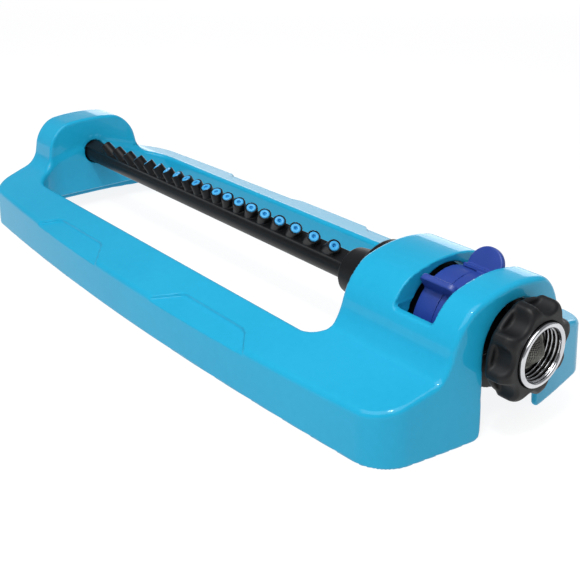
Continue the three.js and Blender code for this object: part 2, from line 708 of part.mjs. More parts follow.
// Filter: a flat rim on the washer and a blunt cone of mesh that points out of the coupling.
const filterX0 = washerX0 + 2 + gap;
const filterTip = couplingFront - 3.8;
const filter = solid(turned([
  [filterX0, 12.3], [filterX0 + 0.5, 12.3], [filterX0 + 0.5, 10.4], [filterTip - 1.2, 7],
  [filterTip, 3], [filterTip, 0], [filterTip - 0.5, 0], [filterTip - 0.6, 2.6],
  [filterTip - 1.8, 6.6], [filterX0, 9.8], [filterX0, 12.3],
]));

onAxis.add(meshOf('coupling_knob', couplingKnob(), blackPlastic));
onAxis.add(meshOf('thread_insert', threadInsert(), chrome));
onAxis.add(meshOf('hose_washer', washer, blackRubber));
onAxis.add(meshOf('inlet_filter', filter, steel));

export default model;
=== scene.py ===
import math

import bpy
import numpy as np
from mathutils import Matrix


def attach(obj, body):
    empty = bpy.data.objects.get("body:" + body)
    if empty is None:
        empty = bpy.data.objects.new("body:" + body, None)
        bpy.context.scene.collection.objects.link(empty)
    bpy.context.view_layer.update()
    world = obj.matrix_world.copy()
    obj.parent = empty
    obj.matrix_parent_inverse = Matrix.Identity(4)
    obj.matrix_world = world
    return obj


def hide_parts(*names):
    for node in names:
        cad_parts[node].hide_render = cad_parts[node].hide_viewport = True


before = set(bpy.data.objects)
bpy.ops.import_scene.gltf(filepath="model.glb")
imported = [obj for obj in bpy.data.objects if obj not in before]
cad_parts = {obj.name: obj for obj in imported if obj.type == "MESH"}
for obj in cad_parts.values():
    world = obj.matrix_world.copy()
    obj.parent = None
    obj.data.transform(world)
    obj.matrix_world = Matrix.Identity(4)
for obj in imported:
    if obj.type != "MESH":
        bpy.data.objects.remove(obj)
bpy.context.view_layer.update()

# ---------------------------------------------------------------- camera, lights and floor
# A product shot: the camera looks down on the inlet end, a wide soft light stands over the
# object, a second one grazes it from behind, and the floor and the room are nearly white.
EYE = (0.43207, -0.31494, 0.24702)
RIGHT = (0.63508, 0.77244, -0.00406)
UP = (-0.32889, 0.27515, 0.90340)
BACK = (0.69893, -0.57239, 0.42879)
FOCAL = 54.8


def placed(eye, right, up, back):
    """A camera's place: its right, up and backward directions as columns, and then the eye."""
    return Matrix([(right[i], up[i], back[i], eye[i]) for i in range(3)] + [(0, 0, 0, 1)])


camera_data = bpy.data.cameras.new("camera")
camera_data.lens = FOCAL
camera_data.sensor_width = 36
camera_data.clip_start = 0.01
camera = bpy.data.objects.new("camera", camera_data)
camera.matrix_world = placed(EYE, RIGHT, UP, BACK)
bpy.context.collection.objects.link(camera)
bpy.context.scene.camera = camera


def area_light(name, place, target, size, watts, colour=(1, 1, 1)):
    """A square light at place that faces target."""
    data = bpy.data.lights.new(name, "AREA")
    data.shape = "RECTANGLE"
    data.size = size[0]
    data.size_y = size[1]
    data.energy = watts
    data.color = colour
    lamp = bpy.data.objects.new(name, data)
    back = np.array(place, float) - np.array(target, float)
    back /= np.linalg.norm(back)
    right = np.cross((0, 0, 1), back)
    right /= np.linalg.norm(right)
    lamp.matrix_world = placed(place, right, np.cross(back, right), back)
    bpy.context.collection.objects.link(lamp)


area_light("key", (0.25, -0.55, 1.25), (0, 0, 0.03), (1.7, 1.4), 19)
area_light("glint", (0.35, -0.45, 1.1), (0.1, 0, 0.03), (0.12, 0.08), 4.5)
area_light("backdrop", (-1.25, 1.3, 0.2), (0, 0, 0.1), (2.4, 0.42), 8)

world = bpy.data.worlds.new("room")
world.use_nodes = True
world.node_tree.nodes["Background"].inputs["Color"].default_value = (0.95, 0.97, 1, 1)
world.node_tree.nodes["Background"].inputs["Strength"].default_value = 0.30
bpy.context.scene.world = world
bpy.context.scene.view_settings.view_transform = "Standard"


def nodes_of(name):
    """A new material with only its Principled shader and output."""
    material = bpy.data.materials.new(name)
    material.use_nodes = True
    return material, material.node_tree, material.node_tree.nodes["Principled BSDF"]


floor_material, floor_tree, floor_shader = nodes_of("studio_floor")
floor_shader.inputs["Base Color"].default_value = (0.16, 0.16, 0.16, 1)
floor_shader.inputs["Roughness"].default_value = 0.9
floor_shader.inputs["Specular IOR Level"].default_value = 0.0
floor_shader.inputs["Emission Color"].default_value = (1, 1, 1, 1)
floor_shader.inputs["Emission Strength"].default_value = 0.88
floor_mesh = bpy.data.meshes.new("floor")
reach = 30
floor_mesh.from_pydata([(-reach, -reach, 0), (reach, -reach, 0), (reach, reach, 0), (-reach, reach, 0)],
                       [], [(0, 1, 2, 3)])
floor_mesh.materials.append(floor_material)
floor = bpy.data.objects.new("floor", floor_mesh)
bpy.context.collection.objects.link(floor)

# ---------------------------------------------------------------- base frame
# One hollow die casting with a baked gloss enamel: two rails round an open window, a bearing
# tower and an arched motor housing, all 2.8 mm thick and open underneath.
# Sizes are in millimetres in the frame's own directions, and become metres when a mesh is made.
MM = 0.001
MID = -7.4
AXIS = 44.6
WALL = 2.8
WINDOW_FAR = -198.1
WINDOW_NEAR = 135.9
SLOT = (169.9, 194.9)
SILL = 57.0
ARCH = 21.2
TAB_SWEEP = 35.2
SCREWS_ACROSS = 29.5


def rounded_cut(a, b, r):
    """Where both distances are negative, with the corner rounded: the length of both once they
    pass -r, added to the larger of them or -r."""
    return np.minimum(-r, np.maximum(a, b)) + np.hypot(np.maximum(r + a, 0), np.maximum(r + b, 0))


def filleted_join(a, b, r):
    """Where either distance is negative, with the inner corner filled to radius r."""
    return np.maximum(r, np.minimum(a, b)) - np.hypot(np.maximum(r - a, 0), np.maximum(r - b, 0))


def smooth_step(x, start, end):
    """0 before start, 1 after end, and 3t^2 - 2t^3 between."""
    t = np.clip((x - start) / (end - start), 0, 1)
    return t * t * (3 - 2 * t)


def surface_net(field, axes):
    """The zero surface of field over a grid: one vertex in each cell that it crosses, at the mean of
    the crossings on the cell's edges, and one square for each crossed edge of the grid."""
    grid = np.meshgrid(*axes, indexing="ij", sparse=True)
    shape = tuple(len(a) for a in axes)
    value = np.broadcast_to(field(*grid), shape)
    inside = value < 0
    count = sum(inside[i:shape[0] - 1 + i, j:shape[1] - 1 + j, k:shape[2] - 1 + k].astype(np.int8)
                for i in (0, 1) for j in (0, 1) for k in (0, 1))
    crossed = (count > 0) & (count < 8)
    cells = np.argwhere(crossed)
    index = np.full(crossed.shape, -1, np.int64)
    index[crossed] = np.arange(len(cells))
    total = np.zeros((len(cells), 3))
    hits = np.zeros(len(cells))
    units = np.eye(3, dtype=int)
    for axis in range(3):
        u, v = units[(axis + 1) % 3], units[(axis + 2) % 3]
        for corner in (0 * u, u, v, u + v):
            near = value[tuple((cells + corner).T)]
            far = value[tuple((cells + corner + units[axis]).T)]
            hit = (near < 0) != (far < 0)
            t = near[hit] / (near[hit] - far[hit])
            total[hit] += corner + t[:, None] * units[axis]
            hits[hit] += 1
    at = cells + total / hits[:, None]
    points = np.stack([np.interp(at[:, i], np.arange(shape[i]), axes[i]) for i in range(3)], axis=1)
    faces = []
    for axis in range(3):
        u, v = units[(axis + 1) % 3], units[(axis + 2) % 3]
        before = [slice(1, n - 1) for n in shape]
        after = list(before)
        before[axis] = slice(0, shape[axis] - 1)
        after[axis] = slice(1, shape[axis])
        start, end = inside[tuple(before)], inside[tuple(after)]
        edge = np.argwhere(start != end)
        outward = start[tuple(edge.T)]
        edge = edge + 1 - units[axis]
        square = np.stack([index[tuple((edge - shift).T)] for shift in (0 * u, u, u + v, v)], axis=1)
        faces.append(np.where(outward[:, None], square, square[:, ::-1]))
    return points, np.concatenate(faces)


def slope_of(field, points, h=0.04):
    """The field's gradient by central differences."""
    parts = []
    for axis in np.eye(3) * h:
        ahead = field(*(points + axis).T)
        behind = field(*(points - axis).T)
        parts.append((ahead - behind) / (2 * h))
    return np.stack(parts, axis=1)


def settled(field, points, faces, step):
    """Evens out the net and drops it back on the surface: each vertex goes to the mean of its
    faces' centres, and then down the gradient by value / slope."""
    for even in (True, True, False):
        if even:
            centres = points[faces].mean(axis=1)
            total = np.zeros_like(points)
            share = np.bincount(faces.ravel(), minlength=len(points))
            for axis in range(3):
                weights = np.repeat(centres[:, axis], 4)
                total[:, axis] = np.bincount(faces.ravel(), weights, minlength=len(points))
            points = 0.5 * points + 0.5 * total / share[:, None]
        for _ in range(2):
            slope = slope_of(field, points)
            steep = np.maximum((slope ** 2).sum(axis=1), 0.05)
            move = field(*points.T)[:, None] * slope / steep[:, None]
            points = points - np.clip(move, -0.6 * step, 0.6 * step)
    return points


def mesh_piece(name, points, faces, material, normals=None):
    """A mesh object at the origin from millimetre points, with smooth shading."""
    mesh = bpy.data.meshes.new(name)
    mesh.vertices.add(len(points))
    mesh.vertices.foreach_set("co", (np.asarray(points, float) * MM).astype(np.float32).ravel())
    sides = faces.shape[1]
    mesh.loops.add(faces.size)
    mesh.loops.foreach_set("vertex_index", faces.astype(np.int32).ravel())
    mesh.polygons.add(len(faces))
    mesh.polygons.foreach_set("loop_start", np.arange(0, faces.size, sides, dtype=np.int32))
    mesh.polygons.foreach_set("use_smooth", np.ones(len(faces), bool))
    mesh.update(calc_edges=True)
    mesh.validate()
    if normals is not None:
        mesh.normals_split_custom_set_from_vertices(normals)
    mesh.materials.append(material)
    piece = bpy.data.objects.new(name, mesh)
    bpy.context.collection.objects.link(piece)
    return piece


def corner_normals(points, faces):
    """Each vertex's mean of its faces' normals, weighted by their areas."""
    a, b, c, d = (points[faces[:, i]] for i in range(4))
    normal = np.cross(c - a, d - b)
    total = np.stack([np.bincount(faces.ravel(), np.repeat(normal[:, axis], 4), minlength=len(points))
                      for axis in range(3)], axis=1)
    return total / (np.linalg.norm(total, axis=1)[:, None] + 1e-12)


def moulded(name, field, low, high, step, material, place=None, slices=None):
    """A piece whose surface is the zero of a distance field, with the field's own normals.
    place turns and lifts points and normals from the piece's own directions to the frame's, and
    slices gives uneven grid positions along x."""
    axes = [np.arange(a, b + step, step) for a, b in zip(low, high)]
    if slices is not None:
        axes[0] = slices
    points, faces = surface_net(field, axes)
    points = settled(field, points, faces, step)
    normals = slope_of(field, points)
    normals /= np.linalg.norm(normals, axis=1)[:, None] + 1e-9
    flat = corner_normals(points, faces)
    astray = (normals * flat).sum(axis=1) < 0.6
    normals[astray] = flat[astray]
    if place is not None:
        turn, lift = place
        points = points @ turn.T + lift
        normals = normals @ turn.T
    return mesh_piece(name, points, faces, material, normals)


def plan_field(x, y, z):
    """The outer walls: long sides bowed by a parabola, ends swept back, round corners, all leaning in."""
    along = np.abs(x - MID)
    across = np.abs(y)
    side = across - (88.8 - 2.0e-4 * along ** 2) + 0.05 * z
    sweep = 0.2 * (np.hypot(np.maximum(across - 12, 0), 20) - 20)
    end = (along - (225 - sweep) + 0.07 * z) * 0.985
    return rounded_cut(side, end, 15.0)


def roof_field(y, z):
    """The rails' tops: planes that fall outwards from a crest."""
    return (z - (34.5 - 0.288 * (np.abs(y) - 55))) * 0.961


def block_field(y, z, half, lean, height, crown, shoulder):
    """A raised block's section: leaning sides and a slightly crowned top with round shoulders."""
    side = (np.abs(y) - (half - lean * (z - 46))) * 0.985
    top = (z - (height - crown * y ** 2)) / np.sqrt(1 + (2 * crown * y) ** 2)
    return rounded_cut(side, top, shoulder)


def hump_field(y, z):
    """The motor housing's section."""
    return block_field(y, z, 40.2, 0.13, 74.2, 0.0062, 15.0)


def tower_field(y, z):
    """The bearing tower's section."""
    return block_field(y, z, 38.4, 0.2, 71.9, 0.0035, 14.0)


def window_field(x, y):
    """The window between the rails: a rectangle with round corners, larger ones at the tower."""
    middle = (WINDOW_FAR + WINDOW_NEAR) / 2
    corner = np.where(x < middle, 26.0, 13.0)
    along = np.abs(x - middle) - (WINDOW_NEAR - WINDOW_FAR) / 2 + corner
    across = np.abs(y) - 55 + corner
    outside = np.hypot(np.maximum(along, 0), np.maximum(across, 0))
    return outside + np.minimum(np.maximum(along, across), 0) - corner


def panel_field(x, y, z):
    """The shallow panels in the rails' tops: trapeziums open to the outer walls, 1.9 mm deep."""
    along = np.abs(np.abs(x - MID) - 77.5)
    across = np.abs(y)
    slant = (along - (28.5 + 1.15 * (across - 72.5))) / 1.52
    plan = rounded_cut(slant, 72.5 - across, 2.5)
    return rounded_cut(plan, -(roof_field(y, z) + 1.9), 1.1)


def arch_field(y, z):
    """The cut-out in the inlet wall: upright sides under a half circle round the axis."""
    return np.where(z < AXIS, np.abs(y), np.hypot(y, z - AXIS)) - ARCH


def foot_join(rail, block):
    """A block on the rails: a slanting strip, 7 mm wide, in the corner between them, with a soft
    fold at its top and a crisp one at its foot."""
    strip = (rail + block - 5.0) * 0.7071
    return filleted_join(rail, filleted_join(block, strip, 4.0), 1.0)


def casting_skin(x, y, z):
    """The casting's outside, as if it were solid and went on down through the ground."""
    tower = rounded_cut(tower_field(y, z), x - WINDOW_FAR, 2.2)
    hump = rounded_cut(hump_field(y, z), WINDOW_NEAR - x, 1.6)
    profile = filleted_join(roof_field(y, z), tower, 7.0)
    profile = foot_join(profile, hump)
    body = rounded_cut(plan_field(x, y, z), profile, 2.6)
    body = rounded_cut(body, -window_field(x, y), 3.2)
    return rounded_cut(body, -panel_field(x, y, z), 0.7)


def casting_field(x, y, z):
    """The whole casting: its skin less an even offset of itself, then the webs, slot and openings."""
    skin = casting_skin(x, y, z)
    window = window_field(x, y)
    shell = np.maximum(skin, -(skin + WALL))
    mouth = np.maximum(hump_field(y, z) + WALL, np.abs(x - WINDOW_NEAR) - 6)
    shell = rounded_cut(shell, -mouth, 0.6)
    shell = rounded_cut(shell, -rounded_cut(window - 3.6, z - 14, 0.5), 0.8)

    from_axis = np.hypot(y, z - AXIS)
    webs = np.minimum(np.abs(x - SLOT[0]), np.abs(x - SLOT[1])) - 2.6
    webs = np.maximum(np.maximum(webs, skin + 1.2), 30 - z)
    shell = filleted_join(shell, rounded_cut(webs, 25.6 - from_axis, 0.6), 1.0)
    ledge = np.maximum(np.maximum(skin + 1.0, -(skin + 6.5)), np.abs(x - 182.5) - 14.5)
    shell = np.minimum(shell, np.maximum(ledge, np.maximum(z - SILL - 2, SILL - 5 - z)))
    middle = np.abs(x - (SLOT[0] + SLOT[1]) / 2) - 12.5
    tab_room = np.maximum(np.maximum(middle - 0.4, from_axis - TAB_SWEEP), z - SILL - 1)
    shell = np.maximum(shell, -tab_room)
    slot = rounded_cut(middle, SILL - z, 2.5)
    shell = rounded_cut(shell, -slot, 0.9)

    boss = np.maximum(from_axis - 13, np.abs(x - WINDOW_FAR + 7) - 6.5)
    shell = np.minimum(shell, boss)
    shell = rounded_cut(shell, 8.7 - from_axis, 0.7)
    seat = np.maximum(from_axis - 10.2, np.abs(x - WINDOW_FAR + 12.6) - 10)
    shell = np.maximum(shell, -np.where(x < 0, seat, 1e3))

    ear = np.hypot(np.abs(y) - SCREWS_ACROSS, z - AXIS)
    ears = np.maximum(np.maximum(ear - 4.5, 1.6 - ear), np.abs(x - 210.7) - 1.4)
    shell = np.minimum(shell, ears)
    keep = rounded_cut(-arch_field(y, z), -z, 3.5)
    shell = rounded_cut(shell, np.where(x > 208, keep, -z), 0.9)
    return shell


# Surface detail that several finishes share, each as a group of shader nodes.
def pattern_group(name, inputs, outputs):
    """An empty node group with named value inputs and outputs besides the Vector input."""
    group = bpy.data.node_groups.new(name, "ShaderNodeTree")
    group.interface.new_socket("Vector", in_out="INPUT", socket_type="NodeSocketVector")
    for label, value in inputs.items():
        socket = group.interface.new_socket(label, in_out="INPUT", socket_type="NodeSocketFloat")
        socket.default_value = value
    for label in outputs:
        group.interface.new_socket(label, in_out="OUTPUT", socket_type="NodeSocketFloat")
    ends = group.nodes.new("NodeGroupInput"), group.nodes.new("NodeGroupOutput")
    return group, ends[0].outputs, ends[1].inputs


def noise(tree, vector, scale, detail=3.0, rough=0.55):
    """A noise texture's value. scale is a number, or a socket that carries one."""
    node = tree.nodes.new("ShaderNodeTexNoise")
    tree.links.new(vector, node.inputs["Vector"])
    if isinstance(scale, (int, float)):
        node.inputs["Scale"].default_value = scale
    else:
        tree.links.new(scale, node.inputs["Scale"])
    node.inputs["Detail"].default_value = detail
    node.inputs["Roughness"].default_value = rough
    return node.outputs["Fac"]


def math_node(tree, operation, a, b):
    """One Math node. a and b are sockets or numbers."""
    node = tree.nodes.new("ShaderNodeMath")
    node.operation = operation
    for slot_number, value in enumerate((a, b)):
        if isinstance(value, (int, float)):
            node.inputs[slot_number].default_value = value
        else:
            tree.links.new(value, node.inputs[slot_number])
    return node.outputs[0]


def map_range(tree, value, before, after=(0.0, 1.0)):
    """A value's range carried over to another one."""
    node = tree.nodes.new("ShaderNodeMapRange")
    node.inputs["From Min"].default_value, node.inputs["From Max"].default_value = before
    node.inputs["To Min"].default_value, node.inputs["To Max"].default_value = after
    tree.links.new(value, node.inputs["Value"])
    return node.outputs["Result"]


def mixed(tree, factor, a, b):
    """A colour between a and b, which are sockets or colours."""
    node = tree.nodes.new("ShaderNodeMix")
    node.data_type = "RGBA"
    tree.links.new(factor, node.inputs["Factor"])
    for end, colour in (("A", a), ("B", b)):
        if isinstance(colour, tuple):
            node.inputs[end].default_value = (*colour, 1)
        else:
            tree.links.new(colour, node.inputs[end])
    return node.outputs["Result"]


grain_group, grain_in, grain_out = pattern_group(
    "moulded_grain", {"Fine": 2500.0, "Broad": 35.0}, ("Height", "Tone"))
grain_fine = noise(grain_group, grain_in["Vector"], grain_in["Fine"], 2.0)
grain_broad = noise(grain_group, grain_in["Vector"], grain_in["Broad"], 4.0)
grain_group.links.new(math_node(grain_group, "ADD", grain_fine, math_node(
    grain_group, "MULTIPLY", grain_broad, 0.5)), grain_out["Height"])
grain_group.links.new(math_node(grain_group, "ADD", math_node(
    grain_group, "MULTIPLY", grain_broad, 0.75), math_node(
    grain_group, "MULTIPLY", grain_fine, 0.25)), grain_out["Tone"])


TONE_RANGE = (0.35, 0.65)


def finish(name, dark, light, rough, fine, broad, bump, metallic=0.0, coat=0.0, coat_rough=0.05, gleam=0.5):
    """A material whose colour runs from dark to light and whose roughness runs over a range with the
    grain's tone, with the grain's height as bump. bump is its depth in metres."""
    material, tree, shader = nodes_of(name)
    place = tree.nodes.new("ShaderNodeTexCoord")
    grain = tree.nodes.new("ShaderNodeGroup")
    grain.node_tree = grain_group
    tree.links.new(place.outputs["Object"], grain.inputs["Vector"])
    grain.inputs["Fine"].default_value = fine
    grain.inputs["Broad"].default_value = broad
    tone = grain.outputs["Tone"]
    colour = mixed(tree, map_range(tree, tone, TONE_RANGE), dark, light)
    tree.links.new(colour, shader.inputs["Base Color"])
    tree.links.new(map_range(tree, tone, TONE_RANGE, rough), shader.inputs["Roughness"])
    relief = tree.nodes.new("ShaderNodeBump")
    relief.inputs["Strength"].default_value = 1.0
    relief.inputs["Distance"].default_value = bump
    tree.links.new(grain.outputs["Height"], relief.inputs["Height"])
    tree.links.new(relief.outputs["Normal"], shader.inputs["Normal"])
    shader.inputs["Metallic"].default_value = metallic
    shader.inputs["Specular IOR Level"].default_value = gleam
    shader.inputs["Coat Weight"].default_value = coat
    shader.inputs["Coat Roughness"].default_value = coat_rough
    return material


def fitted(piece, body, node):
    """Puts the piece under the empty of the body that it moves with, and hides the CAD node that it stands
    for.
    """
    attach(piece, body)
    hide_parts(node)


enamel = finish("blue_enamel", (0.009, 0.325, 0.54), (0.014, 0.355, 0.58), (0.30, 0.36), 260, 9, 0.000008,
                coat=0.4, coat_rough=0.03, gleam=0.05)
# The grid along the casting is fine at the tower, the panels' slanting ends and the motor housing,
# and wide on the plain stretches of rail between them.
SPANS = ((-236, -170, 1.8), (-170, -131, 3.5), (-131, -112, 1.3), (-112, -57, 3.5), (-57, -38, 1.3),
         (-38, 24, 3.5), (24, 43, 1.3), (43, 98, 3.5), (98, 117, 1.3), (117, 221, 1.25))
slices = np.concatenate([np.arange(*span) for span in SPANS])
base = moulded("base_casting", casting_field, (-236, -92, -3), (221, 92, 78), 1.3, enamel, slices=slices)
fitted(base, "base_unit", "base_frame")


# ---------------------------------------------------------------- tower bush, inlet body and screws
# Moulded black parts that stand still: the bush in the tower, and the body that carries the water
# through the motor, whose ears are screwed to the inlet wall and whose sleeve the rings turn on.
LIFT = np.array([0, 0, AXIS])
STILL = (np.eye(3), LIFT)
RING_MID = 183.7
black_plastic = finish("black_plastic", (0.003, 0.0035, 0.004), (0.006, 0.0065, 0.0075), (0.36, 0.48),
                       1800, 30, 0.00002, gleam=0.2)
bright_steel = finish("bright_steel", (0.5, 0.51, 0.53), (0.62, 0.63, 0.65), (0.2, 0.34),
                      3000, 60, 0.000004, metallic=1.0)


def tube_field(x, r, start, end, outer, inner=-9.0, soft=0.3):
    """A tube along the axis between two ends and two radii, with soft edges."""
    length = np.abs(x - (start + end) / 2) - (end - start) / 2
    thick = np.abs(r - (outer + inner) / 2) - (outer - inner) / 2
    return rounded_cut(length, thick, soft)


def joined(*fields):
    """The union of several fields."""
    return np.minimum.reduce(np.broadcast_arrays(*fields))


def bush_field(x, y, z):
    """A plain sleeve."""
    return tube_field(x, np.hypot(y, z), -210.6, -201.0, 9.9, 7.9)


def inlet_field(x, y, z):
    """A stepped pipe, a flange with two ears, and a thin sleeve with two rims and a window on top."""
    r = np.hypot(y, z)
    pipe = joined(tube_field(x, r, 148.9, 162.5, 6.0, 4.2), tube_field(x, r, 157.9, 221.3, 9.0, 6.5),
                  tube_field(x, r, 219.4, 221.3, 12.4, 6.5))
    sleeve = joined(tube_field(x, r, 171.4, 209.1, 22.6, 21.2),
                    tube_field(x, r, 171.4, 172.2, 23.5, 21.2, 0.2),
                    tube_field(x, r, 195.2, 196.2, 23.5, 21.2, 0.2))
    opening = rounded_cut(np.abs(x - RING_MID) - 5.4, 3.7 - z, 0.5)
    sleeve = np.maximum(sleeve, -opening)
    ears = np.hypot(np.maximum(np.abs(y) - 28, 0), z) - 6
    flange = np.maximum(np.minimum(r - 26, ears), 8 - r)
    flange = rounded_cut(flange, np.abs(x - 207.9) - 1.2, 0.5)
    ribs = np.maximum(np.minimum(np.abs(y), np.abs(z)) - 0.9, np.maximum(8 - r, r - 22))
    ribs = np.maximum(ribs, np.abs(x - 211) - 2.2)
    holes = np.hypot(np.abs(y) - SCREWS_ACROSS, z) - 1.9
    return joined(pipe, sleeve, np.maximum(flange, -holes), ribs)


def screw_field(x, y, z):
    """A pan-head screw: a domed head with a cross recess, and a plain shank."""
    r = np.hypot(y, z)
    head = np.maximum(np.hypot(r, x - 208.4) - 4.0, x - 206.5)
    head = np.maximum(rounded_cut(head, r - 3.0, 0.4), 204.7 - x)
    cross = np.minimum(np.maximum(np.abs(y) - 0.35, np.abs(z) - 1.8),
                       np.maximum(np.abs(z) - 0.35, np.abs(y) - 1.8))
    head = np.maximum(head, -np.maximum(cross, x - 205.9))
    return joined(head, tube_field(x, r, 206.3, 212.1, 1.5))


bush = moulded("tower_bearing", bush_field, (-212, -11, -11), (-200, 11, 11), 0.8, black_plastic, STILL)
fitted(bush, "base_unit", "tower_bush")
inlet = moulded("inlet_pipe_body", inlet_field, (147, -36, -28), (223, 36, 28), 0.95, black_plastic, STILL)
fitted(inlet, "base_unit", "inlet_body")
for side, across in (("left", -SCREWS_ACROSS), ("right", SCREWS_ACROSS)):
    screw = moulded(f"inlet_screw_{side}", screw_field, (204, -3.6, -3.6), (213, 3.6, 3.6), 0.25,
                    bright_steel, (np.eye(3), LIFT + np.array([0, across, 0])))
    fitted(screw, "base_unit", f"flange_screw_{side}")

# ---------------------------------------------------------------- spray bar
# One long black moulding: a tube with a flat pad along its top, and a row of twenty short bosses
# that lean towards both ends, each bored for its jet. It lies tilted towards the front.
TILT = math.radians(22.4)
TILT_COS, TILT_SIN = math.cos(TILT), math.sin(TILT)
SWUNG = (np.array([[1, 0, 0], [0, TILT_COS, -TILT_SIN], [0, TILT_SIN, TILT_COS]]), LIFT)
TUBE = 7.81
BOSS = 8.0
JETS = 20
jet_share = (np.arange(JETS) - (JETS - 1) / 2) / ((JETS - 1) / 2)
jet_x = -38.5 + 104.4 * jet_share + 21.3 * jet_share ** 3
jet_lean = np.radians(2.5 + 54.5 * jet_share - 8.3 * jet_share ** 3)


def along_jet(x, y, z, which):
    """Distance out along a boss from the tube's top, and distance from the boss's own axis."""
    lean = jet_lean[which]
    dx = x - jet_x[which]
    dz = z - TUBE
    out = dx * np.sin(lean) + dz * np.cos(lean)
    aside = dx * np.cos(lean) - dz * np.sin(lean)
    return out, np.hypot(aside, y)


def bar_field(x, y, z):
    """The tube and its pad, joined by small fillets to the three bosses nearest to each place."""
    r = np.hypot(y, z)
    tube = filleted_join(r - TUBE, rounded_cut(np.abs(y) - 4.7, np.maximum(z - 8.3, -z), 0.5), 0.5)
    nearest = np.searchsorted((jet_x[1:] + jet_x[:-1]) / 2 + 4 * np.sin(jet_lean[1:]) * 0.9, x)
    bosses, pockets = 1e3, 1e3
    for step in (-1, 0, 1):
        out, aside = along_jet(x, y, z, np.clip(nearest + step, 0, JETS - 1))
        boss = rounded_cut(aside - (4.42 - 0.045 * out), np.maximum(out - BOSS, -5 - out), 0.45)
        bosses = np.minimum(bosses, boss)
        pockets = np.minimum(pockets, np.maximum(aside - 3.05, 3.5 - out))
    body = filleted_join(tube, bosses, 0.5)
    body = rounded_cut(body, np.abs(x + 42.15) - 169.95, 0.5)
    return np.maximum(np.maximum(body, 6.2 - r), -pockets)


bar = moulded("spray_bar", bar_field, (-214, -9.4, -9.4), (130, 9.4, 18), 0.7, black_plastic, SWUNG)
fitted(bar, "bar_unit", "spray_tube")


def plug_field(x, y, z):
    """A cap with a rounded edge and a short spigot."""
    r = np.hypot(y, z)
    return joined(tube_field(x, r, -214.7, -212.4, 7.7, soft=0.8), tube_field(x, r, -213, -207.1, 5.9))


plug = moulded("bar_end_plug", plug_field, (-216, -9, -9), (-206, 9, 9), 0.6, black_plastic, SWUNG)
fitted(plug, "bar_unit", "tube_end_plug")

# ---------------------------------------------------------------- jets
# Twenty light-blue inserts of softer plastic, pressed into the bosses: a round lip and a narrow bore.
jet_plastic = finish("jet_blue", (0.035, 0.33, 0.66), (0.05, 0.38, 0.72), (0.3, 0.42), 2600, 90, 0.00001)


def closed_grid(rows, columns):
    """The squares of a grid of points that closes on itself both ways."""
    a, p = np.meshgrid(np.arange(rows), np.arange(columns), indexing="ij")
    a2, p2 = (a + 1) % rows, (p + 1) % columns
    corners = [a * columns + p, a2 * columns + p, a2 * columns + p2, a * columns + p2]
    return np.stack([corner.ravel() for corner in corners], axis=1)


def turned(profile, segments):
    """A profile of (out, radius) points, closed on itself, carried round the x axis on a grid of
    angle by profile point: (out, radius sin angle, radius cos angle)."""
    out, radius = np.array(profile).T
    angle = np.arange(segments) * 2 * np.pi / segments
    points = np.stack([np.broadcast_to(out, (segments, len(out))), np.sin(angle)[:, None] * radius,
                       np.cos(angle)[:, None] * radius], axis=-1)
    return points.reshape(-1, 3), closed_grid(segments, len(out))


def outward(points, faces):
    """The faces, turned round if the volume that they enclose comes out negative."""
    a, b, c = (points[faces[:, i]] for i in range(3))
    d = points[faces[:, 3]]
    volume = (a * np.cross(b, c)).sum() + (a * np.cross(c, d)).sum()
    return faces if volume > 0 else faces[:, ::-1]


def arc(centre_out, centre_r, radius, start, end, count):
    """Points on a circle, from angle start to end in degrees, measured from outwards to away."""
    angle = np.radians(np.linspace(start, end, count))
    return [(centre_out + radius * math.cos(a), centre_r + radius * math.sin(a)) for a in angle]


jet_profile = ([(3.7, 0.45), (3.7, 2.95), (7.8, 3.0)] + arc(7.8, 2.4, 0.45, 90, 0, 5)
               + arc(7.8, 1.6, 0.45, 0, -80, 4) + [(7.2, 1.12), (6.9, 1.08), (6.85, 0.45)])
jet_points, jet_faces = turned(jet_profile, 28)
jet_faces = outward(jet_points, jet_faces)
for number in range(JETS):
    lean = jet_lean[number]
    lean_sin, lean_cos = math.sin(lean), math.cos(lean)
    turn = np.array([[lean_sin, 0, lean_cos], [0, 1, 0], [lean_cos, 0, -lean_sin]])
    local = jet_points @ turn + np.array([jet_x[number], 0, TUBE])
    swung = local @ SWUNG[0].T + LIFT
    jet = mesh_piece(f"jet_{number + 1:02d}", swung, outward(swung, jet_faces), jet_plastic)
    fitted(jet, "bar_unit", f"nozzle_insert_{number + 1:02d}")

# ---------------------------------------------------------------- motor cover and case
# Two black shells that turn with the bar and hold the water motor: the front one ends in the
# blunt nose that grips the bar, the rear one steps down inside the ring sleeve.


def cover_field(x, y, z):
    """A nose that widens to a drum, with three short ribs, hollow behind, with the axle's hub."""
    r = np.hypot(y, z)
    nose_radius = 13.3 + 0.13 * (x - 104.9)
    nose = rounded_cut(np.abs(x - 116.5) - 11.6, r - nose_radius, 0.9)
    collar = tube_field(x, r, 103.6, 108, 10.4, soft=0.5)
    drum = tube_field(x, r, 127.4, 138.9, 25.0, soft=0.9)
    body = filleted_join(joined(nose, collar), drum, 1.5)
    hollow = tube_field(x, r, 129.6, 150, 23.2, soft=0.5)
    bore = tube_field(x, r, 100, 128.5, 7.95, soft=0.1)
    flow = tube_field(x, r, 126, 132, 6.2, soft=0.1)
    spider = np.maximum(np.minimum(np.abs(y), np.abs(z)) - 1.3, np.abs(x - 128.9) - 0.8)
    spider = np.maximum(spider, r - 9)
    hub = tube_field(x, r, 128.1, 131.5, 3.0, 1.1)
    body = np.maximum(np.maximum(np.maximum(body, -hollow), -bore), -flow)
    return joined(body, spider, hub)


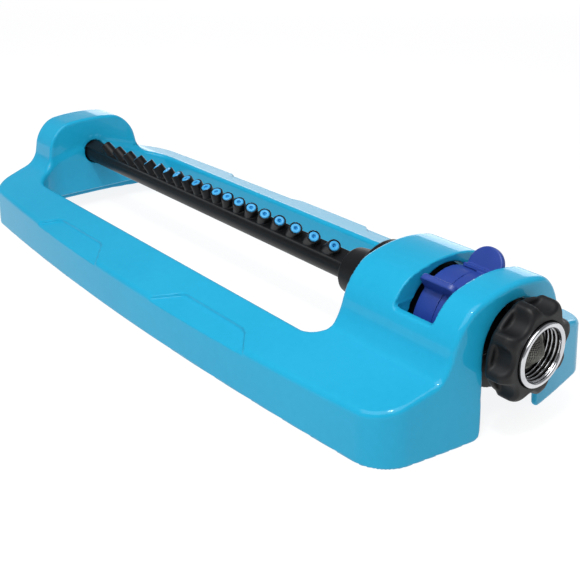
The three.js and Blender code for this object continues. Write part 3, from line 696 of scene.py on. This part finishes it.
def case_field(x, y, z):
    """A wide drum, a web, a narrower drum behind, and an end wall with the pipe's bore."""
    r = np.hypot(y, z)
    body = joined(tube_field(x, r, 139.2, 165.3, 25.0, 23.2), tube_field(x, r, 163.1, 165.3, 25.0, 9.4),
                  tube_field(x, r, 163.1, 199.4, 20.6, 18.8), tube_field(x, r, 197.2, 199.4, 20.6, 9.4))
    finger_window = np.maximum(np.abs(x - RING_MID) - 5.4, np.maximum(np.abs(y) - 5, 10 - z))
    shaft_hole = np.hypot(y, z - 12.5) - 1.3
    return np.maximum(body, -np.minimum(finger_window, np.maximum(shaft_hole, np.abs(x - 164) - 3)))


cover = moulded("motor_front", cover_field, (102, -27, -27), (141, 27, 27), 0.8, black_plastic, SWUNG)
fitted(cover, "bar_unit", "motor_cover")
case = moulded("motor_rear", case_field, (137, -27, -27), (201, 27, 27), 0.9, black_plastic, SWUNG)
fitted(case, "bar_unit", "motor_case")

# ---------------------------------------------------------------- range rings
# Two royal-blue rings that turn by hand in the slot. Each carries one finger tab: a low rounded
# plate on the left one, a tall half-round paddle with a step at its foot on the right one.
tab_plastic = finish("tab_blue", (0.014, 0.042, 0.25), (0.020, 0.055, 0.30), (0.34, 0.44),
                     1900, 40, 0.000014, gleam=0.4)
LEFT_TAB, RIGHT_TAB = 38.0, -27.5
RING_ENDS = (171.9, 194.9)
RING_SEAM = (183.62, 183.80)
RING_OUT, RING_IN = 25.0, 22.9
PADDLE_MID, PADDLE_UP, PADDLE_RADIUS = 184.5, 28.4, 10.2


def turned_by(y, z, degrees):
    """Sideways and radial coordinates of a plate that leans towards the front by an angle."""
    a = math.radians(degrees)
    return y * math.cos(a) + z * math.sin(a), z * math.cos(a) - y * math.sin(a)


def plate_field(x, y, z, degrees, flat):
    """A plate 2.9 mm thick along the axis, standing on the ring, whose outline is flat(x, radial)."""
    aside, up = turned_by(y, z, degrees)
    return rounded_cut(np.abs(aside) - 1.7, np.maximum(flat(x, up), 23.2 - up), 0.8)


def tooth_field(x, y, z, degrees, start, end):
    """The block inside a ring that the trip lever's finger meets."""
    aside, up = turned_by(y, z, degrees)
    section = np.maximum(np.abs(aside) - 1.4, np.abs(up - 22.5) - 1.1)
    return np.maximum(section, np.abs(x - (start + end) / 2) - (end - start) / 2)


def low_tab(x, up):
    """A rectangle with round top corners."""
    return rounded_cut(np.abs(x - 182.9) - 11.5, up - 34.4, 4.5)


def paddle(x, up):
    """A half circle on a short straight foot."""
    aside = x - PADDLE_MID
    return np.where(up < PADDLE_UP - 0.2, np.abs(aside), np.hypot(aside, up - PADDLE_UP)) - PADDLE_RADIUS


def left_ring_field(x, y, z):
    """The left band, its tooth and its low tab, which passes over the right band."""
    r = np.hypot(y, z)
    tab = np.maximum(plate_field(x, y, z, LEFT_TAB, low_tab), np.where(x > RING_MID - 0.1, 25.25 - r, -9))
    band = tube_field(x, r, RING_ENDS[0], RING_SEAM[0], RING_OUT, RING_IN, 0.08)
    return joined(filleted_join(band, tab, 0.8), tooth_field(x, y, z, LEFT_TAB + 10, 179.5, 183.55))


def right_ring_field(x, y, z):
    """The right band, its tooth, and its paddle with the step at its foot."""
    r = np.hypot(y, z)
    plate = plate_field(x, y, z, RIGHT_TAB, paddle)
    aside, up = turned_by(y, z, RIGHT_TAB + 6)
    flat = np.maximum(np.abs(x - PADDLE_MID) - PADDLE_RADIUS, up - 27.2)
    foot = rounded_cut(np.abs(aside) - 1.9, flat, 0.5)
    foot = np.maximum(foot, 23.5 - up)
    tab = np.maximum(filleted_join(plate, foot, 0.6), np.where(x < RING_MID + 0.1, 25.25 - r, -9))
    band = tube_field(x, r, RING_SEAM[1], RING_ENDS[1], RING_OUT, RING_IN, 0.08)
    return joined(filleted_join(band, tab, 0.8), tooth_field(x, y, z, RIGHT_TAB - 10, 183.85, 187.9))


for name, field, body, node in (("left_range_ring", left_ring_field, "left_ring", "range_ring_left"),
                                ("right_range_ring", right_ring_field, "right_ring", "range_ring_right")):
    ring = moulded(name, field, (171, -27, -27), (196.5, 32, 41), 0.55, tab_plastic, STILL)
    fitted(ring, body, node)

# ---------------------------------------------------------------- hose coupling
# A black hand grip with eight scooped lobes over a chromed ring with the hose thread. A rubber
# washer and a pointed strainer of woven wire lie at its bottom.
grip_black = finish("grip_black", (0.0035, 0.0038, 0.0045), (0.0065, 0.007, 0.008), (0.44, 0.58),
                    1500, 45, 0.00003, gleam=0.3)
chrome = finish("thread_chrome", (0.55, 0.56, 0.58), (0.68, 0.69, 0.71), (0.10, 0.20), 900, 70, 0.000008,
                metallic=1.0)
# The colour of the painted shade in the thread's roots, and where along the mouth it begins.
ROOT_SHADE = (0.03, 0.028, 0.024)
ROOT_RADII = (0.01315, 0.0137)
SHADE_START = (0.2306, 0.2301)


def with_painted_root_shade(material):
    """Paints shade on the ring: darker from the crests' radius out to the roots', inside the mouth only, as
    shadow in the thread's grooves.
    """
    tree = material.node_tree
    colour = tree.nodes["Principled BSDF"].inputs["Base Color"]
    apart = tree.nodes.new("ShaderNodeSeparateXYZ")
    tree.links.new(tree.nodes.new("ShaderNodeTexCoord").outputs["Object"], apart.inputs["Vector"])
    across = apart.outputs["Y"]
    height = math_node(tree, "SUBTRACT", apart.outputs["Z"], AXIS * MM)
    square = math_node(tree, "ADD", math_node(tree, "MULTIPLY", height, height),
                       math_node(tree, "MULTIPLY", across, across))
    radius = math_node(tree, "SQRT", square, 0.0)
    root = map_range(tree, radius, ROOT_RADII)
    inside = map_range(tree, apart.outputs["X"], SHADE_START)
    root_shaded = mixed(tree, math_node(tree, "MULTIPLY", root, inside), colour.links[0].from_socket, ROOT_SHADE)
    tree.links.new(root_shaded, colour)


# Painted shade in the thread's grooves inside the mouth.
with_painted_root_shade(chrome)
rubber = finish("black_rubber", (0.008, 0.008, 0.008), (0.016, 0.016, 0.016), (0.65, 0.8),
                1400, 60, 0.00003)
LOBES = 8
LOBE_TURN = math.radians(15)
KNOB = (215.8, 230.4)


def knob_field(x, y, z):
    """A lobed drum with a wide round shoulder in front, whose eight lobes stand out over a plain
    rear rim, with a hub behind, less the socket."""
    r = np.hypot(y, z)
    angle = np.arctan2(z, y) - LOBE_TURN
    pitch = 2 * np.pi / LOBES
    local = np.abs((angle + pitch / 2) % pitch - pitch / 2)
    drum = rounded_cut(rounded_cut(r - 25.9, x - KNOB[1], 5.6), 218.2 - x, 1.6)
    scoop = np.hypot(r * np.cos(pitch / 2 - local) - 28.4, r * np.sin(pitch / 2 - local)) - 8.0
    lobes = rounded_cut(drum, -scoop, 2.0)
    rim = tube_field(x, r, 217.3, 220.2, 24.2, soft=1.2)
    body = joined(filleted_join(lobes, rim, 1.6), tube_field(x, r, KNOB[0], 219, 21.0))
    body = rounded_cut(body, -np.maximum(r - 16.8, 218.9 - x), 0.5)
    return np.maximum(body, 9.5 - r)


knob = moulded("hose_grip", knob_field, (214, -27, -27), (232, 27, 27), 0.5, grip_black, STILL)
fitted(knob, "coupling_unit", "coupling_knob")

THREAD_PITCH = 2.21


def threaded_ring():
    """A ring as a grid of angle by profile point. The inner wall's radius is 13.9 less a ridge that
    follows (x / pitch - angle / full turn), fading in and out at both ends."""
    segments = 160
    angle = np.arange(segments) * 2 * np.pi / segments
    inner_x = np.linspace(231.3, 219.6, 70)
    wave = ((inner_x[None, :] / THREAD_PITCH - angle[:, None] / (2 * np.pi)) % 1.0) * 2 - 1
    ridge = np.clip(1.25 - 1.9 * np.abs(wave), 0, 0.85)
    fade = smooth_step(inner_x, 219.8, 221.5) * smooth_step(-inner_x, -231.2, -229.6)
    inner_r = 13.9 - 0.95 * ridge * fade
    rim = [(219.2, 14.2), (219.2, 16.5)] + [(220.2, 16.5), (231.2, 16.5)]
    rim += arc(231.4, 15.5, 1.0, 90, 0, 6) + arc(231.4, 14.9, 1.0, 0, -88, 6)
    out, radius = np.array(rim).T
    out = np.concatenate([np.broadcast_to(out, (segments, len(out))),
                          np.broadcast_to(inner_x, (segments, len(inner_x)))], axis=1)
    radius = np.concatenate([np.broadcast_to(radius, (segments, len(radius))), inner_r], axis=1)
    points = np.stack([out, radius * np.cos(angle)[:, None], radius * np.sin(angle)[:, None]], axis=-1)
    faces = closed_grid(*out.shape)
    points = points.reshape(-1, 3)
    return points + LIFT, outward(points, faces)


thread = mesh_piece("hose_thread", *threaded_ring(), chrome)
thread.data.set_sharp_from_angle(angle=math.radians(50))
fitted(thread, "coupling_unit", "thread_insert")

washer_profile = (arc(222.0, 11.9, 0.4, 180, 90, 4) + arc(223.2, 11.9, 0.4, 90, 0, 4)
                  + [(223.6, 7.2), (221.6, 7.2)])
washer_points, washer_faces = turned(washer_profile, 64)
washer = mesh_piece("washer", washer_points + LIFT, outward(washer_points, washer_faces), rubber)
fitted(washer, "coupling_unit", "hose_washer")

# The strainer: a flat rim, and wires in two directions that pass over and under each other.
strainer_wire = finish("strainer_wire", (0.24, 0.24, 0.22), (0.36, 0.36, 0.33), (0.3, 0.45),
                       3000, 200, 0.000004, metallic=1.0)
WIRE = 0.16
MESH_PITCH = 0.8
CONE_FOOT, CONE_TIP, CONE_RADIUS = 223.9, 231.7, 9.2


def cone_height(r):
    """How far out the strainer stands at a radius: it falls with the radius to the power 1.35."""
    return CONE_TIP - (CONE_TIP - CONE_FOOT) * (r / CONE_RADIUS) ** 1.35


def wires(offsets, steps, sides):
    """Round wires along one direction over the cone, as a grid of wire, step and side. Each weaves
    0.12 mm out and in with the crossing wires."""
    reach = np.sqrt(CONE_RADIUS ** 2 - offsets ** 2)
    t = np.linspace(-1, 1, steps)
    u = reach[:, None] * t[None, :]
    v = np.broadcast_to(offsets[:, None], u.shape)
    number = np.round(offsets / MESH_PITCH)[:, None]
    weave = 0.12 * np.cos(np.pi * (u / MESH_PITCH + number))
    centre = np.stack([cone_height(np.hypot(u, v)) + weave, u, v], axis=-1)
    along = np.gradient(centre, axis=1)
    along /= np.linalg.norm(along, axis=-1, keepdims=True)
    side = np.cross(along, np.array([1.0, 0, 0]))
    side /= np.linalg.norm(side, axis=-1, keepdims=True)
    up = np.cross(side, along)
    angle = np.arange(sides) * 2 * np.pi / sides
    ring_points = centre[:, :, None, :] + WIRE * (np.cos(angle)[:, None] * side[:, :, None, :]
                                                  + np.sin(angle)[:, None] * up[:, :, None, :])
    count = len(offsets)
    w, s, k = np.meshgrid(np.arange(count), np.arange(steps - 1), np.arange(sides), indexing="ij")
    k2 = (k + 1) % sides
    place = [(w * steps + s) * sides + k, (w * steps + s) * sides + k2,
             (w * steps + s + 1) * sides + k2, (w * steps + s + 1) * sides + k]
    tube_faces = np.stack([p.ravel() for p in place], axis=1)
    ends = [np.stack([(np.arange(count) * steps + at) * sides + corner for corner in order], axis=1)
            for at, order in ((0, (3, 2, 1, 0)), (steps - 1, (0, 1, 2, 3)))]
    return ring_points.reshape(-1, 3), np.concatenate([tube_faces] + ends)


offsets = np.arange(-11, 12) * MESH_PITCH
offsets = offsets[np.abs(offsets) < CONE_RADIUS - 0.2]
warp_points, warp_faces = wires(offsets, 56, 4)
weft_points, weft_faces = wires(offsets + 1e-9, 56, 4)
weft_points = weft_points[:, [0, 2, 1]]
weft_faces = weft_faces[:, ::-1]
rim_profile = [(223.7, 9.0), (223.7, 9.9), (224.2, 10.1), (224.4, 9.8), (224.3, 9.0)]
rim_points, rim_faces = turned(rim_profile, 64)
rim_faces = outward(rim_points, rim_faces)
strainer_points = np.concatenate([warp_points, weft_points, rim_points])
strainer_faces = np.concatenate([warp_faces, weft_faces + len(warp_points),
                                 rim_faces + len(warp_points) + len(weft_points)])
strainer = mesh_piece("strainer", strainer_points + LIFT, strainer_faces, strainer_wire)
fitted(strainer, "coupling_unit", "inlet_filter")

# ---------------------------------------------------------------- motor's inner parts
# The turbine, gears, plate, lever and vane are moulded in acetal, the pins are ground steel and the
# shaft's seal is rubber. They lie inside the case, and keep the shapes that they were designed with.
acetal = finish("gear_plastic", (0.62, 0.60, 0.53), (0.72, 0.70, 0.64), (0.32, 0.45), 1600, 80, 0.00001)
for node, material in (("fixed_sun_gear", acetal), ("turbine_wheel", acetal), ("lay_gear", acetal),
                       ("gear_plate", acetal), ("trip_lever", acetal), ("reversing_vane", acetal),
                       ("turbine_axle", bright_steel), ("lay_gear_axle", bright_steel),
                       ("trip_shaft", bright_steel), ("motor_shaft_seal", rubber)):
    for material_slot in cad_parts[node].material_slots:
        material_slot.material = material
